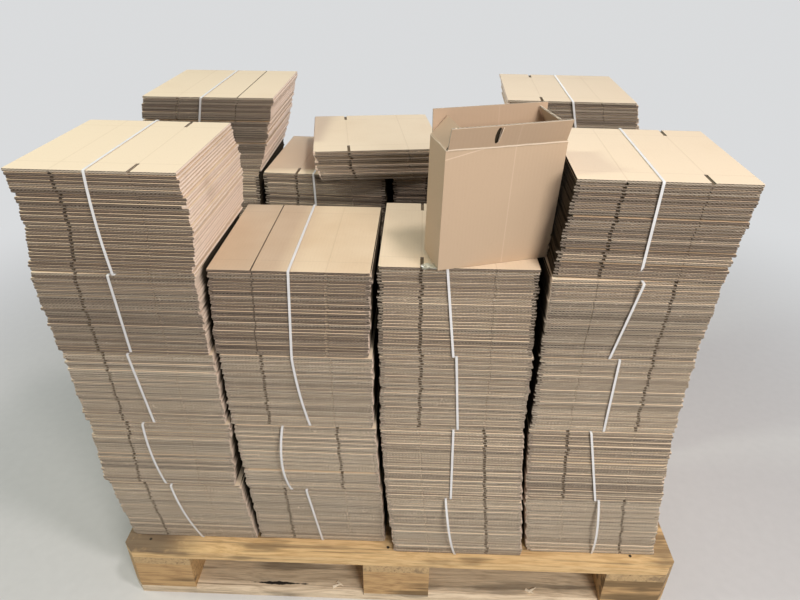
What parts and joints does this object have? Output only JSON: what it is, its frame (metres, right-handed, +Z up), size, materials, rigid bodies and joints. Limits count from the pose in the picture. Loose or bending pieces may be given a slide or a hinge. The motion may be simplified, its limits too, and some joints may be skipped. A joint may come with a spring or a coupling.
{
  "type": "pallet load of strapped flat cartons",
  "caption": "Wooden four-way pallet loaded with strapped bundles of flat folded cartons, some loose cartons on top and one carton set up and open.",
  "frame": {"origin": "on the floor under the middle of the pallet", "axes": "+X along the pallet's long side, +Y from the front row towards the back row, +Z up"},
  "size_m": [1.2228, 0.8285, 1.0716],
  "materials": {
    "deck_wood": "sawn softwood, golden yellow, with knots and nail heads",
    "block_wood": "sawn softwood blocks with end grain to the short sides",
    "weathered_wood": "grey brown weathered softwood",
    "flat_cartons": "kraft corrugated board, pale liners, grey brown cut edges",
    "carton_board": "kraft corrugated board, folded and creased",
    "strap": "white embossed plastic strapping"
  },
  "bodies": {
    "root": {"block_back_left": "block_wood", "block_back_middle": "block_wood", "block_back_right": "block_wood", "block_centre_left": "block_wood", "block_centre_middle": "block_wood", "block_centre_right": "block_wood", "block_front_left": "block_wood", "block_front_middle": "block_wood", "block_front_right": "block_wood", "bottom_board_back": "weathered_wood", "bottom_board_centre": "weathered_wood", "bottom_board_front": "weathered_wood", "bundle_back_1_tier_1": "flat_cartons", "bundle_back_1_tier_2": "flat_cartons", "bundle_back_1_tier_3": "flat_cartons", "bundle_back_1_tier_4": "flat_cartons", "bundle_back_1_tier_5": "flat_cartons", "bundle_back_2_tier_1": "flat_cartons", "bundle_back_2_tier_2": "flat_cartons", "bundle_back_2_tier_3": "flat_cartons", "bundle_back_2_tier_4": "flat_cartons", "bundle_back_3_tier_1": "flat_cartons", "bundle_back_3_tier_2": "flat_cartons", "bundle_back_3_tier_3": "flat_cartons", "bundle_back_3_tier_4": "flat_cartons", "bundle_back_4_tier_1": "flat_cartons", "bundle_back_4_tier_2": "flat_cartons", "bundle_back_4_tier_3": "flat_cartons", "bundle_back_4_tier_4": "flat_cartons", "bundle_back_4_tier_5": "flat_cartons", "bundle_front_1_tier_1": "flat_cartons", "bundle_front_1_tier_2": "flat_cartons", "bundle_front_1_tier_3": "flat_cartons", "bundle_front_1_tier_4": "flat_cartons", "bundle_front_1_tier_5": "flat_cartons", "bundle_front_2_tier_1": "flat_cartons", "bundle_front_2_tier_2": "flat_cartons", "bundle_front_2_tier_3": "flat_cartons", "bundle_front_2_tier_4": "flat_cartons", "bundle_front_3_tier_1": "flat_cartons", "bundle_front_3_tier_2": "flat_cartons", "bundle_front_3_tier_3": "flat_cartons", "bundle_front_3_tier_4": "flat_cartons", "bundle_front_4_tier_1": "flat_cartons", "bundle_front_4_tier_2": "flat_cartons", "bundle_front_4_tier_3": "flat_cartons", "bundle_front_4_tier_4": "flat_cartons", "bundle_front_4_tier_5": "flat_cartons", "cross_board_left": "deck_wood", "cross_board_middle": "deck_wood", "cross_board_right": "deck_wood", "deck_board_1": "deck_wood", "deck_board_2": "deck_wood", "deck_board_3": "deck_wood", "deck_board_4": "deck_wood", "deck_board_5": "deck_wood", "loose_flat_cartons": "flat_cartons", "open_carton": "carton_board", "straps_back_row": "strap", "straps_front_row": "strap"}
  },
  "joints": []
}
